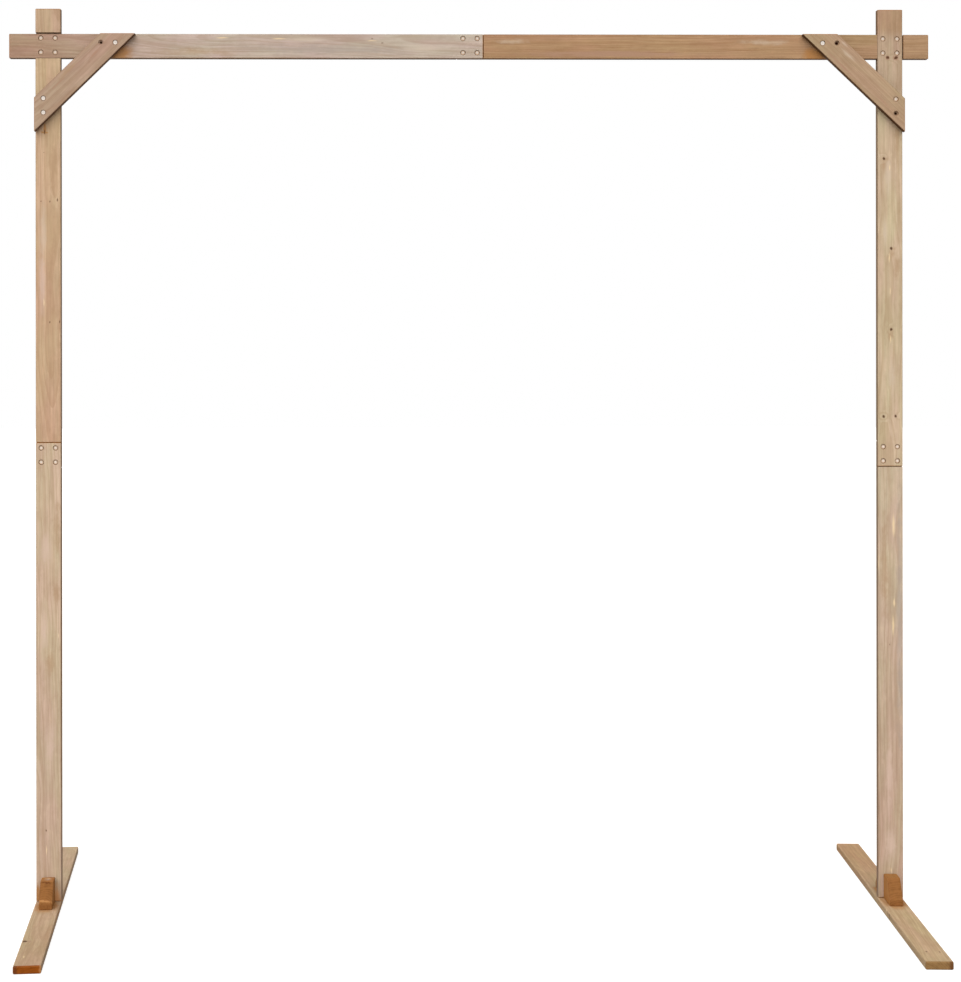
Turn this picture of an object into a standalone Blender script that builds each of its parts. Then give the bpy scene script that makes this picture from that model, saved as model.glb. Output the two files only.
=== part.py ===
# Square wedding arch of flat softwood boards.
# Frame: X runs across the arch, Y from the front face to the back, Z up from the floor.
# The origin is on the floor, midway between the posts and midway through their thickness.

import math

import bmesh
import bpy
from mathutils import Matrix

# Whole arch
arch_height = 2.148
post_spacing = 2.015
post_rise_above_beam = 0.060
beam_overhang = 0.0625

# Boards of the posts and of the beam
post_width = 0.060
beam_width = 0.058
board_thickness = 0.018
edge_easing = 0.0015
easing_steps = 2

# Feet, flat boards that turn in a little towards the middle at the front. They are set a little
# back and to the left of the posts' middles.
foot_length = 1.013
foot_width = 0.060
foot_thickness = 0.018
foot_easing = 0.003
foot_set_back = 0.007
foot_set_left = 0.0015
left_foot_turn = math.radians(5.0)
right_foot_turn = math.radians(2.8)

# Flush half laps, where each half of a post or of the beam meets the other
post_lap_length = 0.060
beam_lap_length = 0.063
lap_end_gap = 0.0012
seat_gap = 0.0003
left_notch_play = 0.0035
right_notch_play = 0.0024

# Corner braces on the front face, a little below the beam's top
left_brace_beam_leg = 0.240
right_brace_beam_leg = 0.2455
brace_post_leg = 0.2335
brace_width = 0.058
brace_thickness = 0.018
brace_drop = 0.0015
left_brace_overhang = 0.0
right_brace_overhang = 0.0015

# Wedge blocks between post and foot, with one corner sawn off
gusset_length = 0.072
gusset_height = 0.058
gusset_width = 0.031
gusset_lip = 0.014
gusset_top = 0.038

# Screws and their recessed holes
lap_screw_pitch = 0.034
beam_screw_rise = 0.002
lap_screw_reach = 0.0105
brace_screw_pitch = 0.034
brace_screw_inset = 0.022
brace_screw_reach = 0.027
recess_radius = 0.0062
recess_depth = 0.0036
screw_head_radius = 0.0048
screw_head_height = 0.0026
screw_dome = 0.0012
screw_crown_radius = 0.0034
socket_radius = 0.0018
socket_depth = 0.0014
shank_radius = 0.0021
shank_tip_radius = 0.0008
shank_tip_length = 0.0020
round_sides = 20
cut_margin = 0.004

# Places worked out from the sizes above
left_post_x = -post_spacing / 2
right_post_x = post_spacing / 2
front_face = -board_thickness / 2
back_face = board_thickness / 2
post_base = foot_thickness + seat_gap
beam_top = arch_height - post_rise_above_beam
beam_bottom = beam_top - beam_width
beam_end = post_spacing / 2 + post_width / 2 + beam_overhang
beam_screw_height = beam_top - beam_width / 2 + beam_screw_rise
splice_middle = (arch_height + foot_thickness) / 2
splice_top = splice_middle + post_lap_length / 2
splice_bottom = splice_middle - post_lap_length / 2
brace_top = beam_top - brace_drop
brace_back = front_face - seat_gap
brace_front = brace_back - brace_thickness
hole_radius = shank_radius + seat_gap

# Colours of the boards, as hexadecimal sRGB
wood_colours = {
    "left_foot": "C3A688",
    "right_foot": "C0A27F",
    "left_front_gusset": "9A6836",
    "left_back_gusset": "9A6836",
    "right_front_gusset": "9C6C3C",
    "right_back_gusset": "9C6C3C",
    "left_lower_post": "C6AE96",
    "left_upper_post": "C6A687",
    "right_lower_post": "BFA58E",
    "right_upper_post": "CBB697",
    "left_beam": "BCA799",
    "right_beam": "B08A67",
    "left_brace": "B5957C",
    "right_brace": "B3926F",
}
wood_roughness = 0.72
screw_colour = "D2CEC6"
screw_roughness = 0.30


def clear_scene():
    for item in list(bpy.data.objects):
        bpy.data.objects.remove(item, do_unlink=True)


def new_collection(name):
    group = bpy.data.collections.new(name)
    bpy.context.scene.collection.children.link(group)
    return group


def linear(channel):
    if channel <= 0.04045:
        return channel / 12.92
    return ((channel + 0.055) / 1.055) ** 2.4


def make_material(name, hex_colour, roughness, metallic):
    material = bpy.data.materials.new(name)
    material.use_nodes = True
    shader = material.node_tree.nodes["Principled BSDF"]
    rgb = [linear(int(hex_colour[i:i + 2], 16) / 255) for i in (0, 2, 4)]
    shader.inputs["Base Color"].default_value = (*rgb, 1.0)
    shader.inputs["Roughness"].default_value = roughness
    shader.inputs["Metallic"].default_value = metallic
    material.diffuse_color = (*rgb, 1.0)
    return material


def move_to(item, group):
    for old in list(item.users_collection):
        old.objects.unlink(item)
    group.objects.link(item)


def smooth(item):
    item.data.shade_smooth()
    item.data.set_sharp_from_angle(angle=math.radians(35))


def ease_edges(item, easing):
    bevel = item.modifiers.new("eased edges", "BEVEL")
    bevel.width = easing
    bevel.segments = easing_steps
    bevel.limit_method = "ANGLE"
    bevel.angle_limit = math.radians(30)


def make_box(name, low, high, group):
    centre = [(a + b) / 2 for a, b in zip(low, high)]
    bpy.ops.mesh.primitive_cube_add(size=1.0, location=centre)
    box = bpy.context.object
    box.name = name
    box.scale = [b - a for a, b in zip(low, high)]
    bpy.ops.object.transform_apply(location=False, rotation=False, scale=True)
    move_to(box, group)
    return box


def make_board(name, low, high, easing):
    board = make_box(name, low, high, arch_pieces)
    board.data.materials.append(make_material(name + "_wood", wood_colours[name], wood_roughness, 0.0))
    ease_edges(board, easing)
    smooth(board)
    return board


# A flat outline in a plane, given its thickness as a curve and then made a mesh
def make_plate(name, points, thickness):
    curve = bpy.data.curves.new(name + " outline", "CURVE")
    curve.dimensions = "2D"
    curve.fill_mode = "BOTH"
    curve.extrude = thickness / 2
    line = curve.splines.new("POLY")
    line.points.add(len(points) - 1)
    for point, (a, b) in zip(line.points, points):
        point.co = (a, b, 0.0, 1.0)
    line.use_cyclic_u = True
    drawn = bpy.data.objects.new(name + " outline", curve)
    bpy.context.scene.collection.objects.link(drawn)
    depsgraph = bpy.context.evaluated_depsgraph_get()
    mesh = bpy.data.meshes.new_from_object(drawn.evaluated_get(depsgraph))
    bpy.data.objects.remove(drawn, do_unlink=True)
    work = bmesh.new()
    work.from_mesh(mesh)
    bmesh.ops.remove_doubles(work, verts=work.verts, dist=0.00001)
    bmesh.ops.dissolve_limit(work, angle_limit=math.radians(1), verts=work.verts, edges=work.edges)
    bmesh.ops.recalc_face_normals(work, faces=work.faces)
    work.to_mesh(mesh)
    work.free()
    mesh.name = name
    plate = bpy.data.objects.new(name, mesh)
    arch_pieces.objects.link(plate)
    mesh.materials.clear()
    mesh.materials.append(make_material(name + "_wood", wood_colours[name], wood_roughness, 0.0))
    ease_edges(plate, edge_easing)
    smooth(plate)
    return plate


def cut(item, cutter):
    cutter.hide_render = True
    cutter.display_type = "WIRE"
    boolean = item.modifiers.new(cutter.name, "BOOLEAN")
    boolean.operation = "DIFFERENCE"
    boolean.object = cutter


def cut_box(item, name, low, high):
    cut(item, make_box(item.name + " " + name, low, high, cutters))


# One cutter of straight round holes that all run along Y from one depth to another
def cut_holes(item, name, places, radius, start, end):
    work = bmesh.new()
    for x, z in places:
        middle = Matrix.Translation((x, (start + end) / 2, z))
        turn = Matrix.Rotation(math.radians(90), 4, "X")
        bmesh.ops.create_cone(work, cap_ends=True, segments=round_sides, radius1=radius, radius2=radius,
                              depth=end - start, matrix=middle @ turn)
    mesh = bpy.data.meshes.new(item.name + " " + name)
    work.to_mesh(mesh)
    work.free()
    cutter = bpy.data.objects.new(mesh.name, mesh)
    cutters.objects.link(cutter)
    cut(item, cutter)


# The front piece has the recess and a clear hole, the piece behind it a blind pilot hole
def bore(front_piece, rear_piece, places, face, joint, reach):
    cut_holes(front_piece, "recesses", places, recess_radius, face - cut_margin, face + recess_depth)
    cut_holes(front_piece, "holes", places, hole_radius, face + recess_depth / 2, joint + cut_margin)
    pilot_end = face + recess_depth + reach + seat_gap
    cut_holes(rear_piece, front_piece.name + " pilots", places, hole_radius, joint - cut_margin, pilot_end)


def corner_places(x, z, pitch):
    half = pitch / 2
    return [(x + i * half, z + k * half) for k in (1, -1) for i in (-1, 1)]


def screw_mesh(reach):
    head_top = screw_head_height
    profile = [
        (0.0, head_top - socket_depth),
        (socket_radius, head_top - socket_depth),
        (socket_radius, head_top),
        (screw_crown_radius, head_top),
        (screw_head_radius, head_top - screw_dome),
        (screw_head_radius, 0.0),
        (shank_radius, 0.0),
        (shank_radius, shank_tip_length - reach),
        (shank_tip_radius, -reach),
        (0.0, -reach),
    ]
    work = bmesh.new()
    corners = [work.verts.new((r, 0.0, z)) for r, z in profile]
    for first, second in zip(corners, corners[1:]):
        work.edges.new((first, second))
    mesh = bpy.data.meshes.new("screw profile")
    work.to_mesh(mesh)
    work.free()
    mesh.materials.append(screw_metal)
    return mesh


# A screw lies along Y with its head to the front, its underside on the floor of the recess
def make_screw(name, mesh, x, z, face):
    screw = bpy.data.objects.new(name, mesh)
    arch_pieces.objects.link(screw)
    screw.location = (x, face + recess_depth - seat_gap, z)
    screw.rotation_euler = (math.radians(90), 0.0, 0.0)
    turned = screw.modifiers.new("turned", "SCREW")
    turned.steps = round_sides
    turned.render_steps = round_sides
    turned.use_merge_vertices = True
    turned.merge_threshold = 0.00001
    turned.use_smooth_shade = True
    return screw


clear_scene()
arch_pieces = new_collection("wedding_arch")
cutters = new_collection("cutters")
screw_metal = make_material("screw_steel", screw_colour, screw_roughness, 1.0)


# Feet, each turned about an upright line by its post and then set back along its own length
def make_foot(name, x, turn):
    low = (-foot_width / 2, -foot_length / 2, 0.0)
    high = (foot_width / 2, foot_length / 2, foot_thickness)
    foot = make_board(name, low, high, foot_easing)
    middle = x - foot_set_left - foot_set_back * math.sin(turn)
    foot.location = (middle, foot_set_back * math.cos(turn), foot_thickness / 2)
    foot.rotation_euler = (0.0, 0.0, turn)


make_foot("left_foot", left_post_x, left_foot_turn)
make_foot("right_foot", right_post_x, -right_foot_turn)


# Wedge blocks, square to the foot, with one back corner against the post
def make_gusset(name, x, side, turn):
    heel = side * (back_face + seat_gap)
    lean = abs(math.sin(turn)) * gusset_width / 2
    outline = [
        (0.0, 0.0),
        (gusset_length, 0.0),
        (gusset_length, gusset_lip),
        (gusset_top, gusset_height),
        (0.0, gusset_height),
    ]
    gusset = make_plate(name, outline, gusset_width)
    upright = Matrix.Rotation(math.radians(90), 4, "X")
    facing = Matrix.Rotation(math.radians(90) * side, 4, "Z")
    on_foot = Matrix.Rotation(turn, 4, "Z")
    gusset.data.transform(on_foot @ facing @ upright)
    along = heel + side * lean
    gusset.location = (x - foot_set_left - along * math.tan(turn), along, post_base)


make_gusset("left_front_gusset", left_post_x, -1, left_foot_turn)
make_gusset("left_back_gusset", left_post_x, 1, left_foot_turn)
make_gusset("right_front_gusset", right_post_x, -1, -right_foot_turn)
make_gusset("right_back_gusset", right_post_x, 1, -right_foot_turn)


# Posts, in two halves that meet in a flush half lap
def post_half(name, x, base, top):
    low = (x - post_width / 2, front_face, base)
    high = (x + post_width / 2, back_face, top)
    return make_board(name, low, high, edge_easing)


# Takes away the front or the back half of a board between two corners of its face
def halve(item, name, side, low_x, low_z, high_x, high_z):
    inner = side * seat_gap / -2
    outer = side * (back_face + cut_margin)
    low = (low_x, min(inner, outer), low_z)
    high = (high_x, max(inner, outer), high_z)
    cut_box(item, name, low, high)


def post_sides(x):
    reach = post_width / 2 + cut_margin
    return x - reach, x + reach


left_lower_post = post_half("left_lower_post", left_post_x, post_base, splice_top)
left_upper_post = post_half("left_upper_post", left_post_x, splice_bottom, arch_height)
right_lower_post = post_half("right_lower_post", right_post_x, post_base, splice_top)
right_upper_post = post_half("right_upper_post", right_post_x, splice_bottom, arch_height)

left_low, left_high = post_sides(left_post_x)
right_low, right_high = post_sides(right_post_x)
lap_shoulder_low = splice_bottom - lap_end_gap
lap_shoulder_high = splice_top + lap_end_gap
past_top = splice_top + cut_margin
past_bottom = splice_bottom - cut_margin
halve(left_lower_post, "lap", 1, left_low, lap_shoulder_low, left_high, past_top)
halve(left_upper_post, "lap", -1, left_low, past_bottom, left_high, lap_shoulder_high)
halve(right_lower_post, "lap", -1, right_low, lap_shoulder_low, right_high, past_top)
halve(right_upper_post, "lap", 1, right_low, past_bottom, right_high, lap_shoulder_high)

# Beam, in two halves, the left one in front where they meet
def beam_half(name, low_x, high_x):
    return make_board(name, (low_x, front_face, beam_bottom), (high_x, back_face, beam_top), edge_easing)


half_lap = beam_lap_length / 2
lap_shoulder = half_lap + lap_end_gap
past_lap = half_lap + cut_margin
below_beam = beam_bottom - cut_margin
above_beam = beam_top + cut_margin
left_beam = beam_half("left_beam", -beam_end, half_lap)
right_beam = beam_half("right_beam", -half_lap, beam_end)
halve(left_beam, "lap", 1, -lap_shoulder, below_beam, past_lap, above_beam)
halve(right_beam, "lap", -1, -past_lap, below_beam, lap_shoulder, above_beam)

# Corners, where the beam lies in front of the left post and behind the right post
post_edge = post_width / 2 + seat_gap
halve(left_beam, "notch", 1, left_post_x - post_edge, below_beam, left_post_x + post_edge, above_beam)
halve(left_upper_post, "notch", -1, left_low, beam_bottom - seat_gap, left_high, beam_top + left_notch_play)
right_notch_end = right_post_x + post_width / 2 + right_notch_play
halve(right_beam, "notch", -1, right_post_x - post_edge, below_beam, right_notch_end, above_beam)
halve(right_upper_post, "notch", 1, right_low, beam_bottom - seat_gap, right_high, beam_top + seat_gap)


# Corner braces, mitred boards on the front face. Each has a long edge that runs from the beam
# to the post, and a shorter one beside it, nearer the corner.
def short_legs(beam_leg):
    slant = math.hypot(beam_leg, brace_post_leg)
    return beam_leg - brace_width * slant / brace_post_leg, brace_post_leg - brace_width * slant / beam_leg


def make_brace(name, outer, side, beam_leg):
    short_beam_leg, short_post_leg = short_legs(beam_leg)
    outline = [
        (-side * short_beam_leg, 0.0),
        (-side * beam_leg, 0.0),
        (0.0, -brace_post_leg),
        (0.0, -short_post_leg),
    ]
    brace = make_plate(name, outline, brace_thickness)
    brace.data.transform(Matrix.Rotation(math.radians(90), 4, "X"))
    brace.location = (outer, (brace_front + brace_back) / 2, brace_top)
    return brace


left_brace_outer = left_post_x - post_width / 2 - left_brace_overhang
right_brace_outer = right_post_x + post_width / 2 + right_brace_overhang
left_brace = make_brace("left_brace", left_brace_outer, -1, left_brace_beam_leg)
right_brace = make_brace("right_brace", right_brace_outer, 1, right_brace_beam_leg)


# The two screws at a brace's upper end and the two at its lower end, nearest the corner first
def brace_places(outer, side, beam_leg):
    short_beam_leg, short_post_leg = short_legs(beam_leg)
    slope = beam_leg / brace_post_leg
    along_beam = (short_beam_leg + beam_leg) / 2 - brace_screw_inset * slope
    down_post = (short_post_leg + brace_post_leg) / 2 - brace_screw_inset / slope
    steps = (-brace_screw_pitch / 2, brace_screw_pitch / 2)
    upper = [(outer - side * (along_beam + step), brace_top - brace_screw_inset) for step in steps]
    lower = [(outer - side * brace_screw_inset, brace_top - down_post - step) for step in steps]
    return upper, lower


# Screws of the five laps
lap_screw = screw_mesh(lap_screw_reach)
lap_joints = [
    ("left_corner", left_beam, left_upper_post, left_post_x, beam_screw_height),
    ("right_corner", right_upper_post, right_beam, right_post_x, beam_screw_height),
    ("left_splice", left_lower_post, left_upper_post, left_post_x, splice_middle),
    ("right_splice", right_upper_post, right_lower_post, right_post_x, splice_middle),
    ("beam_splice", left_beam, right_beam, 0.0, beam_screw_height),
]
for joint_name, front_piece, rear_piece, joint_x, joint_z in lap_joints:
    spots = corner_places(joint_x, joint_z, lap_screw_pitch)
    bore(front_piece, rear_piece, spots, front_face, 0.0, lap_screw_reach)
    for number, (spot_x, spot_z) in enumerate(spots, 1):
        make_screw(joint_name + "_screw_" + str(number), lap_screw, spot_x, spot_z, front_face)

# Screws of the braces, of which three are missing and leave their holes empty
brace_screw = screw_mesh(brace_screw_reach)
missing_screws = {"left_brace_screw_1", "right_brace_screw_1", "right_brace_screw_4"}
brace_joints = [
    (left_brace, left_beam, left_upper_post, left_brace_outer, -1, left_brace_beam_leg),
    (right_brace, right_beam, right_upper_post, right_brace_outer, 1, right_brace_beam_leg),
]
for brace, beam_board, post, outer, side, beam_leg in brace_joints:
    upper_spots, lower_spots = brace_places(outer, side, beam_leg)
    bore(brace, beam_board, upper_spots, brace_front, brace_back, brace_screw_reach)
    bore(brace, post, lower_spots, brace_front, brace_back, brace_screw_reach)
    for number, (spot_x, spot_z) in enumerate(upper_spots + lower_spots, 1):
        screw_name = brace.name + "_screw_" + str(number)
        if screw_name not in missing_screws:
            make_screw(screw_name, brace_screw, spot_x, spot_z, brace_front)
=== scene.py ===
"""Dresses a square wedding arch of stained pine boards for viewing.

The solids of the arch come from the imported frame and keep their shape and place. This file gives
each board its own pine finish, models the screw heads, and sets up a pale studio around the arch.
"""

import math

import bmesh
import bpy
import numpy as np
from bpy.props import FloatProperty, FloatVectorProperty, IntProperty, PointerProperty
from mathutils import Matrix, Vector


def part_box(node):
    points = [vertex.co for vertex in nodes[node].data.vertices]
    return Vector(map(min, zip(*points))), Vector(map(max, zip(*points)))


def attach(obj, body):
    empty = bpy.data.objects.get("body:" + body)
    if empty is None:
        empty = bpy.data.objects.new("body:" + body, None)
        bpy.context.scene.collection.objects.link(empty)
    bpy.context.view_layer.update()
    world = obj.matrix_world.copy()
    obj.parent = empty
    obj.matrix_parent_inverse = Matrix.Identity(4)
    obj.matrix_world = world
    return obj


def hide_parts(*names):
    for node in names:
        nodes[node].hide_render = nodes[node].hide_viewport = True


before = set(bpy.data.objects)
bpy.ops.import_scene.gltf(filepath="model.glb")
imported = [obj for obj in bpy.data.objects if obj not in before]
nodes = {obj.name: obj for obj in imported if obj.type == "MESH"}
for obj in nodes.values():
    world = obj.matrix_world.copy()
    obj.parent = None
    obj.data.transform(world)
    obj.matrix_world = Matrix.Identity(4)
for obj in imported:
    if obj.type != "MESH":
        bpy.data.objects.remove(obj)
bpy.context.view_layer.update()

bl_info = {
    "name": "Wedding Arch Finish",
    "version": (1, 0, 0),
    "blender": (4, 5, 0),
    "location": "View3D > Sidebar > Wedding Arch",
    "description": "Pine, screw and studio finishes for a square wedding arch",
    "category": "Material",
}

MM = 0.001
# Thickness of the boards in millimetres
BOARD_DEPTH = 18


def linear(hex_colour):
    """The linear red, green and blue of an sRGB hex colour."""
    channels = [int(hex_colour[i:i + 2], 16) / 255 for i in (0, 2, 4)]
    return tuple(c / 12.92 if c <= 0.04045 else ((c + 0.055) / 1.055) ** 2.4 for c in channels)


def colour_setting(name, description, hex_colour):
    colour = linear(hex_colour)
    return FloatVectorProperty(
        name=name, description=description, default=colour, size=3, min=0.0, max=1.0, subtype="COLOR"
    )


def length_setting(name, description, millimetres):
    return FloatProperty(
        name=name, description=description, default=millimetres * MM, min=0.1 * MM, unit="LENGTH", precision=4
    )


def share_setting(name, description, share):
    return FloatProperty(
        name=name, description=description, default=share, min=0.0, max=1.0, subtype="FACTOR"
    )


def angle_setting(name, description, degrees):
    return FloatProperty(name=name, description=description, default=math.radians(degrees), subtype="ANGLE")


def strength_setting(name, description, strength):
    return FloatProperty(name=name, description=description, default=strength, min=0.0)


class BoardColours(bpy.types.PropertyGroup):
    """The stained face colour of each board."""

    left_upper_post: colour_setting("Left upper post", "Face colour of the left upper post", "C8AD8F")
    left_lower_post: colour_setting("Left lower post", "Face colour of the left lower post", "C7B199")
    right_upper_post: colour_setting("Right upper post", "Face colour of the right upper post", "C5B196")
    right_lower_post: colour_setting("Right lower post", "Face colour of the right lower post", "C4B09A")
    left_beam: colour_setting("Left half of the beam", "Face colour of the beam's left half", "BEAEA2")
    right_beam: colour_setting("Right half of the beam", "Face colour of the beam's right half", "AF8C6C")
    left_brace: colour_setting("Left brace", "Face colour of the left corner brace", "B39885")
    right_brace: colour_setting("Right brace", "Face colour of the right corner brace", "B1977C")
    left_foot: colour_setting("Left foot", "Face colour of the left foot", "C2AA8E")
    right_foot: colour_setting("Right foot", "Face colour of the right foot", "BDA483")
    wedge_block: colour_setting("Wedge blocks", "Face colour of the four wedge blocks", "A27140")


class PineLook(bpy.types.PropertyGroup):
    """Sizes and strengths of the pine's grain."""

    ring_spacing: length_setting("Ring spacing", "Mean distance between two growth rings", 5.0)
    ring_contrast: share_setting("Ring contrast", "How much darker the late wood is", 0.34)
    fibre_width: length_setting("Fibre width", "Width of one drawn streak of fibres", 1.4)
    roughness: share_setting("Roughness", "Mean roughness of the stained face", 0.68)
    end_grain: colour_setting("End grain", "Colour of sawn ends, where the stain soaks in", "95602A")


class ScrewLook(bpy.types.PropertyGroup):
    """The zinc-plated screws."""

    steel: colour_setting("Screw steel", "Colour of the zinc-plated steel", "EBE3DB")
    # The stain colour also stands in for shade on the heads: painted shade
    stain: colour_setting("Stain on screws", "Colour of the stain left around a head", "B99878")
    roughness: share_setting("Roughness", "Mean roughness of the plated heads", 0.28)
    head_radius: length_setting("Head radius", "Radius of a domed head", 5.8)
    head_height: length_setting("Head height", "Height of a domed head", 3.3)
    seat_depth: length_setting("Seat depth", "From the plain head's front to the floor of its recess", 2.6)
    segments: IntProperty(name="Segments", description="Facets around a head", default=32, min=12, max=64)


class StageLook(bpy.types.PropertyGroup):
    """The pale studio."""

    floor: colour_setting("Floor", "Colour of the floor", "BEBCB9")
    key_strength: strength_setting("Main light", "Strength of the light from above the camera", 3.05)
    key_height: angle_setting("Height of the light", "Angle of the main light above the floor", 42)
    key_turn: angle_setting("Turn of the light", "How far to the left the main light stands", 4)
    key_width: angle_setting("Width of the light", "How wide the main light looks", 72)
    side_strength: strength_setting("Left light", "Strength of the light from high on the left", 1.0)
    fill: strength_setting("Ambient light", "Strength of the light from all round", 0.2)


def add_node(tree, kind, settings=None, inputs=None):
    """Adds a node, sets its settings, and gives each input its value or its link."""
    made = tree.nodes.new(kind)
    for name, value in (settings or {}).items():
        setattr(made, name, value)
    for key, value in (inputs or {}).items():
        if isinstance(value, bpy.types.NodeSocket):
            tree.links.new(value, made.inputs[key])
        else:
            made.inputs[key].default_value = value
    return made


def mix_colours(tree, factor, first, second, blend="MIX"):
    """A mix whose factor and colours are each a value or a socket."""
    first, second = ((*value, 1.0) if isinstance(value, tuple) else value for value in (first, second))
    settings = {"data_type": "RGBA", "blend_type": blend}
    return add_node(tree, "ShaderNodeMix", settings, {0: factor, 6: first, 7: second}).outputs[2]


def maths(tree, operation, *values):
    """A sum of up to three numbers or sockets."""
    return add_node(tree, "ShaderNodeMath", {"operation": operation}, dict(enumerate(values))).outputs[0]


def vector_maths(tree, operation, *values):
    """A sum of up to three vectors or sockets. A length or a dot product comes as a number."""
    made = add_node(tree, "ShaderNodeVectorMath", {"operation": operation}, dict(enumerate(values)))
    return made.outputs["Value" if operation in ("LENGTH", "DOT_PRODUCT") else "Vector"]


def spread(tree, value, low, high, to_low=0.0, to_high=1.0, kind="SMOOTHSTEP"):
    """Maps a socket from one range to another, held at its ends."""
    inputs = {0: value, "From Min": low, "From Max": high, "To Min": to_low, "To Max": to_high}
    return add_node(tree, "ShaderNodeMapRange", {"interpolation_type": kind}, inputs).outputs[0]
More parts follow.
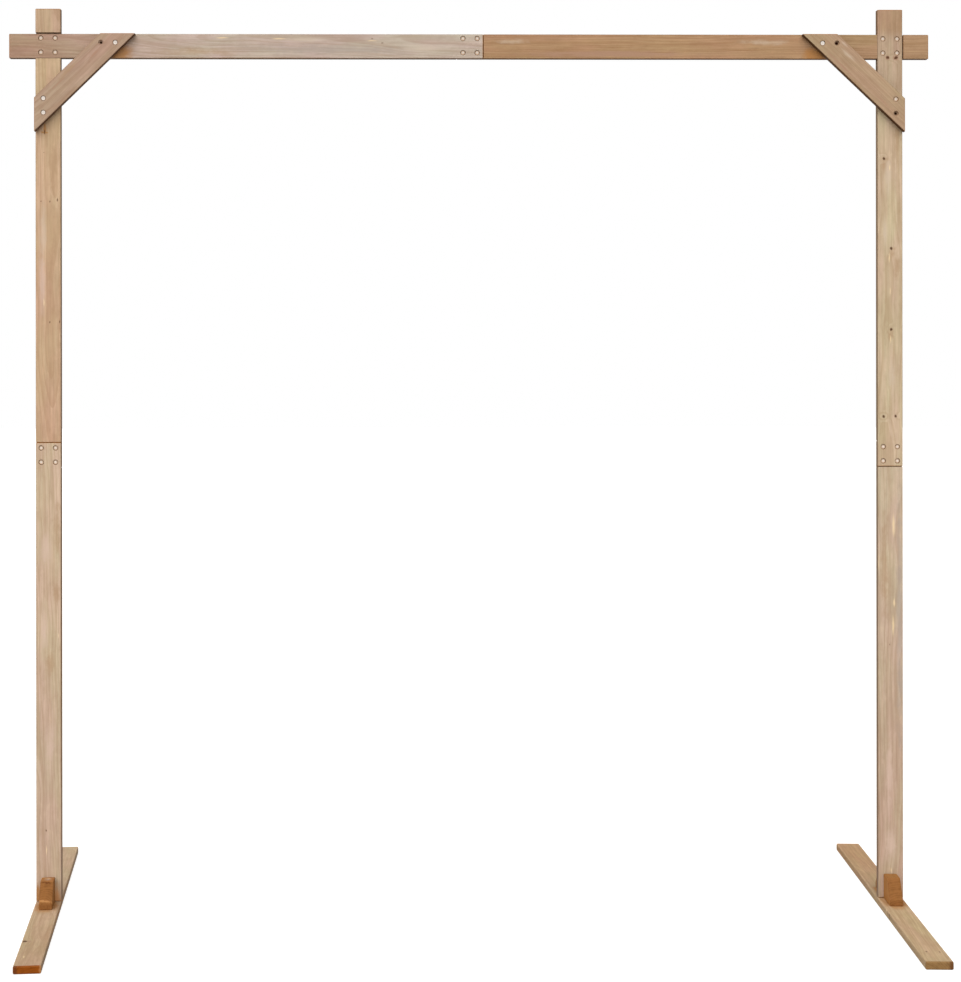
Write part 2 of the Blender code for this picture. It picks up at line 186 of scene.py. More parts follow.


# How each board was sawn and what shows on it. Lengths are in millimetres in the board's own frame:
# x across the face, y from the face to the back, z along the grain from the board's middle. The pith
# is the middle of the tree, and lean is how far it drifts in each metre. A fade runs from one place
# along the board to another and tints what lies beyond it. Side is how far the sawn sides darken,
# partly with their stain and partly with painted shade. Edge is the pale tone of the feet's rounded
# edges, a painted highlight. Each mark has its place across and along the grain, and half its width
# and length. Holes are places of real holes in the arch's own frame, with the radius of the painted
# shade laid in and around them.
BOARDS = {
    "left_upper_post": {
        "pith": (16, 66), "lean": (9, -20), "fades": [(250, -250, "FAF3F5"), (430, 470, "F0EFF2")],
        "marks": {
            "warm": [(13, 168, 12, 95), (8, -60, 12, 60), (-2, 250, 6, 60)],
            "rosy": [(-14, -110, 12, 90)],
            "pale": [(-12, 10, 10, 90)],
            "umber_stain_and_shade": [(-8, 261, 4.5, 17), (-8, 252, 12, 3.2)],
            "dark": [(-8, 257, 3.5, 12)],
            "flame": [(-10, -153, 2, 13)],
            "pin": [
                (-17, 88, 1.7, 2.4), (4, 87, 2.1, 3.6), (22, 91, 2.3, 5), (3.6, -200, 2, 4.2),
                (27, -200, 1.8, 5), (-10, 205, 1.2, 2), (-8, 253, 2, 8),
            ],
        },
    },
    "left_lower_post": {
        "pith": (-40, 46), "lean": (-12, 16), "fades": [(200, -200, "F8F6F9")],
        "marks": {
            "warm": [(20, 340, 10, 80), (19, 190, 10, 60), (4, 20, 14, 40)],
            "rosy": [(-6, 290, 18, 60), (-10, 96, 13, 60), (4, -180, 16, 90)],
            # Near the wedge block the stain and the umber are also painted shade cast by the block
            "stain": [(0, -562, 40, 74)],
            "umber_stain_and_shade": [(-26, -530, 8, 28)],
            "amber": [(15, -536, 15, 40)],
            # The dark streak along the right edge is painted shade beside the post's shaded side
            "dark": [(29, -20, 2.4, 560)],
            "flame": [(-5, -426, 1.6, 16), (24, 86, 1.2, 9)],
            "pin": [(-6, -378, 2.2, 3.4)],
        },
    },
    "right_upper_post": {
        "pith": (-6, 54), "lean": (8, 14),
        "fades": [(320, 370, "F2EDF0"), (425, 450, "FAF6F7"), (475, 505, "F2EADD")],
        "marks": {
            "warm": [
                (-8, 189, 9, 9), (10, -26, 8, 8), (17, 250, 10, 110), (14, -70, 12, 44),
                (-15, 175, 10, 26), (4, -40, 10, 20), (0, -232, 9, 20),
            ],
            "brown": [(-5.4, 432, 8, 7), (14.6, 432, 10, 8)],
            "pale": [(-12, 12, 9, 44), (-4, 150, 12, 60), (4, -330, 12, 60)],
            "flame": [(-1, 168, 2.3, 11), (-2, -48, 2.4, 15), (0, -128, 1.8, 12), (1, -243, 2.2, 13)],
            "knot": [
                (-5.4, 432, 4.8, 4.6), (14.6, 432, 6, 4.8), (-14.9, 190.5, 4.2, 5), (2.4, -25.5, 4.2, 5),
                (2.4, -219.5, 3.8, 4.8), (-15.8, -428, 4, 4.6), (12.7, -427, 3.8, 4.6),
            ],
        },
    },
    "right_lower_post": {
        "pith": (34, 62), "lean": (-16, 12), "fades": [(300, -350, "F3ECEC")],
        "marks": {
            "warm": [(-14, 250, 13, 150)],
            "grey": [(22, 120, 12, 420)],
            "rosy": [(-3, -250, 12, 160), (0, -420, 20, 60), (-18, -528, 12, 44)],
            "stain": [(0, -564, 40, 26)],
            "dark": [(0, 517, 40, 1.6)],
            "flame": [
                (7.6, 346, 5.2, 36), (9, 160, 3.8, 13), (6.4, 104, 3.6, 32), (1, -482, 1.6, 10),
                (-28, 258, 1.3, 26),
            ],
            "pin": [(-2, 60, 1.2, 2.4)],
        },
    },
    "left_beam": {
        "pith": (-26, 38), "lean": (14, -26), "side": 0.9,
        "fades": [(-100, -240, "FAF7F3"), (-250, -340, "F3E6DD"), (-400, -520, "F6F0EB")],
        "marks": {
            "warm": [(14, -120, 12, 160)],
            "brown": [(0, -575, 60, 16)],
            "grey": [(8, 200, 16, 300)],
            "pale": [(6, 420, 14, 70), (-16, 150, 8, 90)],
            # Umber below the left brace's lower edge is stain and painted shade of the brace
            "umber_stain_and_shade": [(18, -312, 34, 52)],
            # The dark streak along the lower edge is painted shade under the beam
            "dark": [(29, 0, 3.4, 560)],
            "flame": [(-20, -58, 2.4, 20), (-18, 78, 2.6, 22), (-13, 300, 1.8, 18)],
            "pin": [(-8, 324, 1.5, 4), (-18, 300, 1.4, 3)],
        },
    },
    "right_beam": {
        "pith": (-48, 36), "lean": (12, 18), "side": 0.8, "fades": [(300, 380, "F8FFFF")],
        "marks": {
            "warm": [(18, 100, 9, 200)],
            "brown": [(18, -200, 10, 260)],
            "pale": [(-10, 170, 9, 80), (-12, -432, 9, 44)],
            # Umber below the right brace's lower edge is stain and painted shade of the brace
            "umber_stain_and_shade": [(22, 292, 26, 36)],
            "dark": [
                (10, -330, 3.4, 60), (3, -180, 2.8, 46), (14, -80, 3, 60), (9, 120, 2.6, 70),
                (20, -300, 3, 26), (-6, -440, 2.2, 40),
            ],
        },
    },
    "left_brace": {
        "pith": (-14, 60), "lean": (-24, 34), "side": 0.93, "holes": [(-878.7, 2064.5, 3.6)],
        "marks": {
            "warm": [(-47, -10, 6, 50)],
            "brown": [(-41, -44, 2.2, 26), (-32, 64, 3.6, 20)],
            "dark": [(0, 0, 3, 170)],
        },
    },
    "right_brace": {
        "pith": (26, 50), "lean": (24, -20), "side": 0.98,
        "holes": [(875.7, 2064.5, 4.6), (1017, 1896.9, 4.2)],
        "marks": {
            "brown": [(-9, -52, 3.2, 62), (-15, 82, 2, 46), (-27, -112, 2, 20)],
            "pale": [(-38, -52, 7, 34), (-51, -81, 4, 14)],
            "dark": [(0, 0, 4, 180)],
        },
    },
    "left_foot": {
        "pith": (12, 52), "lean": (-16, 22), "end": "844512", "face": (0, 0, 1), "side": 0.31,
        "edge": "D9BD98", "fades": [(200, -520, "EFEAE4")],
        "marks": {
            "warm": [(24, -307, 8, 170), (10, 93, 18, 120)],
            "brown": [(-13, -331, 6, 8)],
            "stain": [(0, -54, 36, 72)],
            "amber": [(31, 0, 2.4, 520)],
            "worn": [(31, -506, 7, 20)],
            "dark_band": [(-29.5, -506, 11, 30)],
            "flame": [(-13, -443, 1.8, 13)],
            "knot": [(-22.5, -330, 7, 8)],
        },
    },
    "right_foot": {
        "pith": (-36, 48), "lean": (20, 14), "end": "84653F", "face": (0, 0, 1), "side": 0,
        "edge": "CDB391", "fades": [(0, 400, "FAEBE3")],
        "marks": {
            "warm": [(-24, 300, 9, 200)],
            "stain": [(-16, 53, 9, 38), (2, -54, 36, 72)],
            "dark_band": [(29, -506, 11, 20)],
            "flame": [(-29.5, -114, 2.6, 7)],
            "pin": [(-12, -437, 2, 6), (16, -438, 2, 6)],
            "knot": [(-34, -150, 5.5, 8)],
        },
    },
}

# The wedge blocks stand with their grain from front to back, and their marks lie on the sloping top
BLOCK = {"face": (0, 0, 1), "along": (0, 1, 0), "end": "845830", "side": 0.0, "edges": 0.0, "depth": 58}
# The left blocks carry painted highlights along their edges, and the left front block's sides a darker colour
# for painted shade
BOARDS["left_front_gusset"] = {
    **BLOCK, "pith": (4, 30), "lean": (60, 90), "side": 0.75, "side_stain_and_shading": "8C5A26",
    "marks": {
        "grey": [(0, 16, 12, 12)],
        "worn": [(0, -32, 22, 2)],
        "dark_band": [(0, -4, 16, 1.8)],
        "flame": [(0, 22, 12, 3.2)],
    },
}
BOARDS["left_back_gusset"] = {
    **BLOCK, "pith": (-9, 36), "lean": (-80, 70),
    "marks": {"worn": [(0, 4, 22, 2.4), (0, 32, 22, 2)]},
}
# The right front block's sides take a paler colour, painted light that makes up for the shade the lamps leave
# on them
BOARDS["right_front_gusset"] = {
    **BLOCK, "pith": (7, 34), "lean": (90, -60), "side": 0.6, "side_stain_and_shading": "BB8049",
    "fades": [(-4, 2, "EFF1EE")],
}
BOARDS["right_back_gusset"] = {**BLOCK, "pith": (-5, 28), "lean": (50, 80)}

# The colour of each kind of mark, how strongly it covers the wood, where its soft edge starts and
# how far the clouds of stain eat into it. Umber is the stain that lies on the face alone; under the
# braces it is also painted shade below their lower edges. The edge highlight marks are painted
# highlights on lit edges, and hole shade is painted shade in the holes. Dark bands darken the feet's
# ends and a line on the left front block.
MARKS = {
    "warm": ("A58565", 0.55, 0.00, 1.8),
    "brown": ("A38069", 0.80, 0.35, 1.0),
    "grey": ("A3978E", 0.55, 0.00, 1.8),
    "rosy": ("CFB4A4", 0.60, 0.00, 1.8),
    "pale": ("D2C2AE", 0.38, 0.00, 2.0),
    "stain": ("A8743F", 0.80, 0.40, 0.8),
    "umber_stain_and_shade": ("A8743F", 0.80, 0.40, 0.8),
    "amber": ("C69060", 0.75, 0.30, 0.8),
    "worn": ("BE8A58", 0.60, 0.30, 0.8),
    "dark_band": ("5A3018", 0.70, 0.50, 0.8),
    "dark": ("8E6A48", 0.50, 0.00, 0.6),
    "flame": ("E8CFA4", 0.68, 0.15, 0.5),
    "pin": ("55381F", 0.80, 0.40, 0.0),
    "knot": ("4A2C17", 0.90, 0.45, 0.0),
    "hole": ("2C170B", 0.94, 0.75, 0.0),
}
ON_ENDS = ("worn", "dark_band")
ON_FACES = [kind for kind in MARKS if kind not in ON_ENDS]
# These go through the board, the others fade away from its face towards its back
RIGHT_THROUGH = ("knot", "pin", "hole", "stain", *ON_ENDS)


def grain_frame(node, board):
    """The middle of a board and its own axes: across the face, to the back and along the grain."""
    points = np.array([v.co for v in nodes[node].data.vertices])
    low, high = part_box(node)
    along = board.get("along")
    if along is None:
        along = np.linalg.eigh(np.cov((points - points.mean(0)).T))[1][:, 2]
        if np.abs(along).max() > 0.9995:
            along = np.round(along)
        along = along * np.sign(along[np.argmax(np.abs(along))])
    along = Vector(along)
    back = -Vector(board.get("face", (0, -1, 0)))
    back = (back - along * back.dot(along)).normalized()
    return (low + high) / 2, Matrix((back.cross(along), back, along)).transposed()


def board_marks(board, middle, axes):
    """A board's marks, with its holes moved from the arch's frame into the board's own."""
    marks = dict(board.get("marks", {}))
    # Each hole is filled with painted shade, from its middle out to the given radius
    marks["hole"] = []
    for x, z, size in board.get("holes", []):
        spot = axes.transposed() @ (Vector((x, middle.y / MM, z)) - middle / MM)
        marks["hole"].append((spot.x, spot.z, size, size))
    return marks


def tinted(colour, *shares):
    return tuple(channel * share for channel, share in zip(colour, shares))


def noise(tree, local, across, along, seed, detail=3.0, roughness=0.5):
    """Noise whose features are so many millimetres wide across the grain and long along it."""
    placing = {"Location": (seed, seed * 0.7, seed * 1.3), "Scale": (1 / across, 1 / across, 1 / along)}
    stretched = add_node(tree, "ShaderNodeMapping", {}, {0: local, **placing}).outputs[0]
    inputs = {0: stretched, "Scale": 1.0, "Detail": detail, "Roughness": roughness}
    return add_node(tree, "ShaderNodeTexNoise", {}, inputs)


def mark_masks(tree, board, marks, local, blotches, seed):
    """A mask for each kind of mark, and how far each knot pushes the growth rings outwards."""
    # Marks have ragged outlines, drawn 6 mm apart. Drilled holes are clean.
    ragged = noise(tree, local, 6, 14, seed + 2, 2.0).outputs["Color"]
    edge = vector_maths(tree, "MULTIPLY_ADD", ragged, (3.0, 0.0, 6.0), (-1.5, 0.0, -3.0))
    spots = vector_maths(tree, "ADD", local, edge)
    masks, pushes = {}, []
    for kind, places in marks.items():
        soft_edge, eaten = MARKS[kind][2:]
        depth = 0.0 if kind in RIGHT_THROUGH else 1 / board.get("depth", BOARD_DEPTH)
        for across, height, half_width, half_length in places:
            placing = {
                "Location": (-across / half_width, 0.5 if depth else 0.0, -height / half_length),
                "Scale": (1 / half_width, depth, 1 / half_length),
            }
            source = local if kind == "hole" else spots
            centred = add_node(tree, "ShaderNodeMapping", {}, {0: source, **placing}).outputs[0]
            distance = vector_maths(tree, "LENGTH", centred)
            if kind == "knot":
                pushes.append(spread(tree, distance, 0.0, 4.0, 5.0, 0.0))
            if eaten:
                clouded = maths(tree, "MULTIPLY_ADD", blotches, -eaten, eaten / 2)
                distance = maths(tree, "ADD", distance, clouded)
            mask = spread(tree, distance, 1.0, soft_edge)
            masks[kind] = maths(tree, "MAXIMUM", masks[kind], mask) if kind in masks else mask
    return masks, pushes


def add_marks(tree, tone, masks, kinds):
    """Lays marks of the given kinds over a tone."""
    for kind in kinds:
        if kind in masks:
            hex_colour, cover = MARKS[kind][:2]
            tone = mix_colours(tree, maths(tree, "MULTIPLY", masks[kind], cover), tone, linear(hex_colour))
    return tone


def growth_rings(tree, board, local, place, pushes, spacing, seed):
    """Rings around the pith: pale early wood deepens slowly into late wood and starts again at once."""
    # The log wanders a few millimetres over each 400 mm of length, which bends the bands
    wander = noise(tree, local, 120, 420, seed, 2.0).outputs["Color"]
    sway = add_node(tree, "ShaderNodeSeparateXYZ", {}, {0: wander}).outputs
    squares = []
    for axis, amount in ((0, 26), (1, 30)):
        lean, pith = board["lean"][axis] / 1000, board["pith"][axis]
        drift = maths(tree, "MULTIPLY_ADD", place[2], -lean, -pith - amount / 2)
        moved = maths(tree, "ADD", place[axis], drift)
        swayed = maths(tree, "MULTIPLY_ADD", sway[axis], amount, moved)
        squares.append(maths(tree, "MULTIPLY", swayed, swayed))
    radius = maths(tree, "SQRT", maths(tree, "ADD", *squares))
    for push in pushes:
        radius = maths(tree, "ADD", radius, push)
    turns = maths(tree, "DIVIDE", radius, spacing)
    inputs = {"W": turns, "Scale": 0.6, "Detail": 2.0}
    uneven = add_node(tree, "ShaderNodeTexNoise", {"noise_dimensions": "1D"}, inputs).outputs[0]
    phase = maths(tree, "FRACT", maths(tree, "MULTIPLY_ADD", uneven, 2.2, turns))
    return maths(tree, "MULTIPLY", spread(tree, phase, 0.35, 0.88), spread(tree, phase, 1.0, 0.91))


def stained_pine(name, node, colour, board, seed, look):
    """Planed pine with a thin brown stain: soft early wood takes the stain evenly and stays pale,
    late wood shows as darker bands, and the eye sees long streaks, a few knots and thirsty dark ends."""
    material = bpy.data.materials.new(name)
    material.use_nodes = True
    tree = material.node_tree
    shader = tree.nodes["Principled BSDF"]
    middle, axes = grain_frame(node, board)
    coordinates = add_node(tree, "ShaderNodeTexCoord").outputs["Object"]
    placing = {"Location": middle, "Rotation": axes.to_euler(), "Scale": (MM, MM, MM)}
    mapping = add_node(tree, "ShaderNodeMapping", {"vector_type": "TEXTURE"}, {0: coordinates, **placing})
    local = mapping.outputs[0]
    place = add_node(tree, "ShaderNodeSeparateXYZ", {}, {0: local}).outputs

    # Fibres are drawn 1.4 mm wide, streaks 5.5 mm and blotches 15 mm, and the stain lies in clouds of 30 mm
    fibres = noise(tree, local, look.fibre_width / MM, 60, seed, 3.0, 0.6).outputs[0]
    streaks = noise(tree, local, 5.5, 170, seed + 5).outputs[0]
    blotches = noise(tree, local, 15, 34, seed + 17, 5.0, 0.68).outputs[0]
    clouds = noise(tree, local, 30, 95, seed + 9, 4.0, 0.6).outputs[0]
    tints = noise(tree, local, 38, 190, seed + 13).outputs[0]
    masks, pushes = mark_masks(tree, board, board_marks(board, middle, axes), local, blotches, seed)
    late_wood = growth_rings(tree, board, local, place, pushes, look.ring_spacing / MM, seed)

    # The face: each pattern tints the colour by its share, from where it starts to where it is full
    rosy, olive = tinted(colour, 1.03, 0.96, 1.00), tinted(colour, 0.96, 1.02, 0.94)
    tone = mix_colours(tree, spread(tree, tints, 0.36, 0.64), rosy, olive)
    for pattern, start, full, share, tint in (
        (clouds, 0.34, 0.70, 0.50, (0.76, 0.72, 0.68)),
        (blotches, 0.46, 0.72, 0.45, (0.72, 0.66, 0.60)),
        (blotches, 0.46, 0.26, 0.45, (1.22, 1.20, 1.18)),
        (streaks, 0.44, 0.72, 0.32, (1.24, 1.22, 1.16)),
        (streaks, 0.50, 0.28, 0.34, (0.70, 0.62, 0.52)),
    ):
        tone = mix_colours(tree, spread(tree, pattern, start, full, 0.0, share), tone, tinted(colour, *tint))
    ringed = maths(tree, "MULTIPLY", late_wood, look.ring_contrast)
    tone = mix_colours(tree, ringed, tone, tinted(colour, 0.62, 0.50, 0.38))
    drawn = spread(tree, fibres, 0.62, 0.30, 0.0, 0.38, "LINEAR")
    tone = mix_colours(tree, drawn, tone, tinted(colour, 0.60, 0.52, 0.44))
    for start, end, tint in board.get("fades", []):
        tone = mix_colours(tree, spread(tree, place[2], start, end), tone, linear(tint), "MULTIPLY")
    tone = add_marks(tree, tone, masks, ON_FACES)

    # Sides were left rough from the saw and take the stain darker, and painted shade darkens them more
    normal = add_node(tree, "ShaderNodeNewGeometry").outputs["Normal"]
    dots = [vector_maths(tree, "DOT_PRODUCT", normal, axis) for axis in axes.transposed()]
    side_on, face_on, end_on = (maths(tree, "ABSOLUTE", dot) for dot in dots)
    flattest = maths(tree, "MAXIMUM", maths(tree, "MAXIMUM", side_on, face_on), end_on)
    side_stain_and_shading = spread(tree, side_on, 0.6, 0.9, 0.0, board.get("side", 0.56))
    sawn = linear(board["side_stain_and_shading"]) if "side_stain_and_shading" in board else tinted(colour, 0.22, 0.15, 0.10)
    tone = mix_colours(tree, side_stain_and_shading, tone, sawn)
    # Edges take their own tone: darker on most boards, and on the feet a pale painted highlight where light
    # catches the rounded edges
    edges = spread(tree, flattest, 0.99, 0.80, 0.0, board.get("edges", 0.6 if "edge" in board else 0.3))
    worn = linear(board["edge"]) if "edge" in board else tinted(colour, 0.42, 0.34, 0.26)
    tone = mix_colours(tree, edges, tone, worn)

    # Sawn ends soak up more stain, and they and the sides stay dull
    end = linear(board["end"]) if "end" in board else tuple(look.end_grain)
    end_rings = maths(tree, "MULTIPLY", late_wood, 0.5)
    end_tone = mix_colours(tree, end_rings, end, tinted(end, 0.55, 0.45, 0.40))
    thirsty = spread(tree, blotches, 0.35, 0.65, 0.0, 0.45)
    end_tone = mix_colours(tree, thirsty, end_tone, tinted(end, 1.30, 1.30, 1.35))
    end_tone = add_marks(tree, end_tone, masks, ON_ENDS)
    # A little of the edge tone, on the feet a painted highlight, runs onto the rims of the ends
    end_tone = mix_colours(tree, maths(tree, "MULTIPLY", edges, 0.15), end_tone, worn)
    tone = mix_colours(tree, spread(tree, end_on, 0.10, 0.35), tone, end_tone)
    tree.links.new(tone, shader.inputs["Base Color"])
    rough_sawn = maths(tree, "MAXIMUM", side_on, end_on)
    gloss = spread(tree, rough_sawn, 0.45, 0.85, 0.2, 0.04)
    tree.links.new(gloss, shader.inputs["Specular IOR Level"])

    late_smooth = maths(tree, "MULTIPLY_ADD", late_wood, -0.08, look.roughness)
    rough = maths(tree, "MULTIPLY_ADD", fibres, 0.16, late_smooth)
    tree.links.new(rough, shader.inputs["Roughness"])
    relief = maths(tree, "MULTIPLY_ADD", late_wood, 0.5, fibres)
    bump = add_node(tree, "ShaderNodeBump", {}, {"Strength": 0.4, "Distance": 0.3 * MM, "Height": relief})
    tree.links.new(bump.outputs[0], shader.inputs["Normal"])
    return material


def finish_board(node, colour, seed):
    """Gives a board its own pine finish."""
    look = bpy.context.scene.arch_pine
    material = stained_pine(node + "_stained_pine", node, tuple(colour), BOARDS[node], seed, look)
    for slot in nodes[node].material_slots:
        slot.material = material


class FinishPosts(bpy.types.Operator):
    """Stain the four post halves"""

    bl_idname = "wedding_arch.finish_posts"
    bl_label = "Posts"

    def execute(self, context):
        colours = context.scene.arch_colours
        posts = ("left_upper_post", "left_lower_post", "right_upper_post", "right_lower_post")
        for number, node in enumerate(posts):
            finish_board(node, getattr(colours, node), 3.1 + number * 5.7)
        return {"FINISHED"}


class FinishBeam(bpy.types.Operator):
    """Stain the two halves of the beam"""

    bl_idname = "wedding_arch.finish_beam"
    bl_label = "Beam"

    def execute(self, context):
        colours = context.scene.arch_colours
        finish_board("left_beam", colours.left_beam, 27.4)
        finish_board("right_beam", colours.right_beam, 33.9)
        return {"FINISHED"}


class FinishBraces(bpy.types.Operator):
    """Stain the corner braces"""

    bl_idname = "wedding_arch.finish_braces"
    bl_label = "Corner braces"

    def execute(self, context):
        colours = context.scene.arch_colours
        finish_board("left_brace", colours.left_brace, 41.2)
        finish_board("right_brace", colours.right_brace, 47.7)
        return {"FINISHED"}


class FinishFeet(bpy.types.Operator):
    """Stain the feet and the wedge blocks on them"""

    bl_idname = "wedding_arch.finish_feet"
    bl_label = "Feet and wedge blocks"

    def execute(self, context):
        colours = context.scene.arch_colours
        finish_board("left_foot", colours.left_foot, 53.3)
        finish_board("right_foot", colours.right_foot, 59.8)
        blocks = ("left_front_gusset", "left_back_gusset", "right_front_gusset", "right_back_gusset")
        for number, node in enumerate(blocks):
            finish_board(node, colours.wedge_block, 66.1 + number * 4.3)
        return {"FINISHED"}


def plated_steel(name, look, bright, dull, film):
    """Zinc-plated steel, turned and tumbled: a soft pale mirror. A brown film, thickest from one radius
    outwards, is wood stain brushed over the heads and painted shade, so the eye sees a pale middle in a brown
    ring."""
    material = bpy.data.materials.new(name)
    material.use_nodes = True
    tree = material.node_tree
    shader = tree.nodes["Principled BSDF"]
    shader.inputs["Metallic"].default_value = 1.0
    coordinates = add_node(tree, "ShaderNodeTexCoord").outputs["Object"]
    # Tumbling marks are drawn 0.8 mm apart
    inputs = {0: coordinates, "Scale": 1 / (0.8 * MM), "Detail": 3.0}
    marks = add_node(tree, "ShaderNodeTexNoise", {}, inputs).outputs[0]
    steel = tuple(look.steel)
    tone = mix_colours(tree, spread(tree, marks, 0.42, 0.72), steel, tinted(steel, 0.80, 0.76, 0.70))
    radius = vector_maths(tree, "LENGTH", vector_maths(tree, "MULTIPLY", coordinates, (1.0, 1.0, 0.0)))
    # Painted shade and stain together make the brown ring
    stained = spread(tree, radius, bright * MM, dull * MM, film, 0.8)
    tone = mix_colours(tree, stained, tone, tuple(look.stain))
    tree.links.new(tone, shader.inputs["Base Color"])
    rough = maths(tree, "MULTIPLY_ADD", marks, 0.24, look.roughness - 0.12)
    tree.links.new(rough, shader.inputs["Roughness"])
    return material


def screw_head(look):
    """A domed screw head with a cross recess, its underside at the origin and its top along Z."""
    head = bmesh.new()
    wide = look.head_radius
    profile = [
        (0.0, 0.95), (0.20, 0.96), (0.52, 1.0), (0.76, 0.93), (0.90, 0.78), (0.97, 0.58), (1.0, 0.35),
        (1.0, 0.0), (0.40, 0.0), (0.40, -0.6), (0.0, -0.6),
    ]
    corners = [head.verts.new((across * wide, 0.0, height * look.head_height)) for across, height in profile]
    for first, second in zip(corners, corners[1:]):
        head.edges.new((first, second))
    whole = head.verts[:] + head.edges[:]
    bmesh.ops.spin(head, geom=whole, axis=(0, 0, 1), cent=(0, 0, 0), steps=look.segments, angle=math.tau)
    bmesh.ops.remove_doubles(head, verts=head.verts, dist=0.001 * MM)
    bmesh.ops.recalc_face_normals(head, faces=head.faces)
    solid = bpy.data.objects.new("head", bpy.data.meshes.new("head"))
    head.to_mesh(solid.data)
    head.free()

    # The driver's cross is two crossed blades that narrow towards their foot
    cross = bmesh.new()
    for turn in (0, 90):
        blade = bmesh.ops.create_cube(cross, size=1.0)["verts"]
        for vert in blade:
            narrow = 1.0 if vert.co.z > 0 else 0.45
            vert.co = (vert.co.x * 4.6 * MM * narrow, vert.co.y * 1.2 * MM * narrow, vert.co.z * 3.4 * MM)
        bmesh.ops.rotate(cross, verts=blade, matrix=Matrix.Rotation(math.radians(turn), 3, "Z"))
        bmesh.ops.translate(cross, verts=blade, vec=(0, 0, look.head_height + 0.5 * MM))
    cutter = bpy.data.objects.new("cross", bpy.data.meshes.new("cross"))
    cross.to_mesh(cutter.data)
    cross.free()
    for item in (solid, cutter):
        bpy.context.scene.collection.objects.link(item)
    recess = solid.modifiers.new("recess", "BOOLEAN")
    recess.operation = "DIFFERENCE"
    recess.use_self = True
    recess.object = cutter
    mesh = bpy.data.meshes.new_from_object(solid.evaluated_get(bpy.context.evaluated_depsgraph_get()))
    mesh.name = "cross_recess_screw_head"
    for item in (solid, cutter):
        bpy.data.objects.remove(item, do_unlink=True)
    mesh.shade_smooth()
    mesh.set_sharp_from_angle(angle=math.radians(32))
    return mesh


class FinishScrews(bpy.types.Operator):
    """Model the screw heads and give them their plated steel"""

    bl_idname = "wedding_arch.finish_screws"
    bl_label = "Screws"

    def execute(self, context):
        look = context.scene.arch_screws
        brace_head = screw_head(look)
        lap_head = brace_head.copy()
        for mesh, name, bright, dull, film in (
            (brace_head, "zinc_plated_steel", 3.8, 5.8, 0.05),
            (lap_head, "stained_zinc_plated_steel", 0.8, 3.4, 0.0),
        ):
            mesh.materials.clear()
            mesh.materials.append(plated_steel(name, look, bright, dull, film))
        for number, node in enumerate(sorted(name for name in nodes if "_screw_" in name)):
            low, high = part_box(node)
            # The laps' screws and one in the right brace get duller heads, brown with stain and painted shade
            # nearly from the middle; the others stay pale nearly to the rim
            mesh = brace_head if "brace" in node and node != "right_brace_screw_3" else lap_head
            screw = bpy.data.objects.new(node + "_head", mesh)
            context.scene.collection.objects.link(screw)
            # Each screw stopped at its own turn
            screw.matrix_world = (
                Matrix.Translation(((low.x + high.x) / 2, low.y + look.seat_depth, (low.z + high.z) / 2))
                @ Matrix.Rotation(math.radians(90), 4, "X")
                @ Matrix.Rotation(math.radians(37 * number % 90), 4, "Z")
            )
            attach(screw, "root")
            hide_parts(node)
        return {"FINISHED"}


def seen_rays(tree):
    """One for the rays that look at the backdrop, straight on or by way of metal or glass."""
    rays = add_node(tree, "ShaderNodeLightPath").outputs
    bounced = maths(tree, "MAXIMUM", rays["Is Glossy Ray"], rays["Is Transmission Ray"])
    return maths(tree, "MAXIMUM", rays["Is Camera Ray"], bounced)


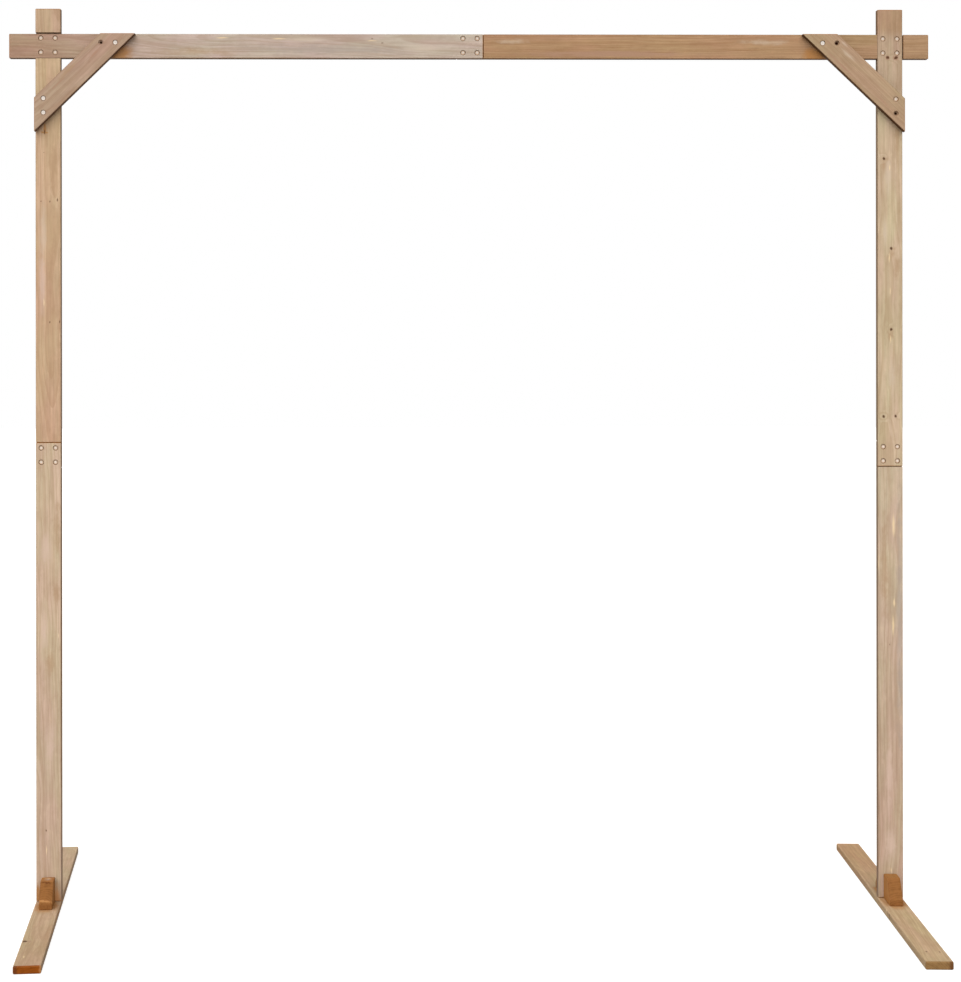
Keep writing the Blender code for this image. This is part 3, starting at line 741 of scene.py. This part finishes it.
class BuildStage(bpy.types.Operator):
    """Set up the floor, the lights and the camera"""

    bl_idname = "wedding_arch.build_stage"
    bl_label = "Studio"

    def execute(self, context):
        scene = context.scene
        look = scene.arch_stage
        scene.view_settings.view_transform = "Standard"

        mesh = bpy.data.meshes.new("floor")
        sheet = bmesh.new()
        bmesh.ops.create_grid(sheet, x_segments=2, y_segments=2, size=40.0)
        sheet.to_mesh(mesh)
        sheet.free()
        floor = bpy.data.objects.new("floor", mesh)
        scene.collection.objects.link(floor)
        floor.location.z = -0.0005
        matt = bpy.data.materials.new("matt_paper_floor")
        matt.use_nodes = True
        tree = matt.node_tree
        shader = tree.nodes["Principled BSDF"]
        shader.inputs["Base Color"].default_value = (*look.floor, 1.0)
        shader.inputs["Roughness"].default_value = 0.9
        shader.inputs["Specular IOR Level"].default_value = 0.2
        paper = shader.outputs[0]
        white = add_node(tree, "ShaderNodeEmission", {}, {"Color": (1, 1, 1, 1), "Strength": 0.75}).outputs[0]
        both = add_node(tree, "ShaderNodeAddShader", {}, {0: paper, 1: white}).outputs[0]
        blend = add_node(tree, "ShaderNodeMixShader", {}, {0: seen_rays(tree), 1: paper, 2: both}).outputs[0]
        tree.links.new(blend, tree.nodes["Material Output"].inputs[0])
        mesh.materials.append(matt)

        world = bpy.data.worlds.new("pale_studio")
        scene.world = world
        world.use_nodes = True
        tree = world.node_tree
        backdrop = tree.nodes["Background"]
        backdrop.inputs["Color"].default_value = (1, 1, 1, 1)
        strength = spread(tree, seen_rays(tree), 0.0, 1.0, look.fill, 1.0, "LINEAR")
        tree.links.new(strength, backdrop.inputs["Strength"])

        # Wide soft suns keep the light even from the beam down to the feet
        for name, strength, wide, height, turn in (
            ("main light", look.key_strength, look.key_width, look.key_height, look.key_turn),
            ("left light", look.side_strength, math.radians(80), math.radians(55), math.radians(80)),
        ):
            light = bpy.data.lights.new(name, "SUN")
            light.angle = wide
            light.energy = strength
            lamp = bpy.data.objects.new(name, light)
            scene.collection.objects.link(lamp)
            lamp.visible_glossy = False
            lamp.rotation_euler = (math.radians(90) - height, 0.0, -turn)

        # The lens and shift come from the arch's corners in the photograph, 961 by 982 pixels
        lens = bpy.data.cameras.new("camera")
        lens.sensor_fit = "HORIZONTAL"
        lens.sensor_width = 36.0
        lens.lens = 36.0 * 1873.8 / 961
        lens.shift_x = (480.5 - 413.0) / 961
        lens.shift_y = -(491.0 - 374.6) / 961
        view = bpy.data.objects.new("camera", lens)
        scene.collection.objects.link(view)
        view.location = (-0.1913, -4.4894, 1.2740)
        view.rotation_euler = (math.radians(90), math.radians(0.06), math.radians(-0.69))
        scene.camera = view
        return {"FINISHED"}


class ArchPanel(bpy.types.Panel):
    """Lists the steps that dress the arch"""

    bl_idname = "VIEW3D_PT_wedding_arch"
    bl_label = "Wedding Arch"
    bl_space_type = "VIEW_3D"
    bl_region_type = "UI"
    bl_category = "Wedding Arch"

    def draw(self, context):
        for step in STEPS:
            self.layout.operator(step.bl_idname, text=step.bl_label)


STEPS = (FinishPosts, FinishBeam, FinishBraces, FinishFeet, FinishScrews, BuildStage)
GROUPS = {
    "arch_colours": BoardColours,
    "arch_pine": PineLook,
    "arch_screws": ScrewLook,
    "arch_stage": StageLook,
}


def register():
    for group in GROUPS.values():
        bpy.utils.register_class(group)
    for name, group in GROUPS.items():
        setattr(bpy.types.Scene, name, PointerProperty(type=group))
    for step in STEPS:
        bpy.utils.register_class(step)
    bpy.utils.register_class(ArchPanel)


def unregister():
    bpy.utils.unregister_class(ArchPanel)
    for step in reversed(STEPS):
        bpy.utils.unregister_class(step)
    for name, group in reversed(GROUPS.items()):
        delattr(bpy.types.Scene, name)
        bpy.utils.unregister_class(group)


def main():
    register()
    for step in STEPS:
        family, name = step.bl_idname.split(".")
        getattr(getattr(bpy.ops, family), name)()


if __name__ == "__main__":
    main()
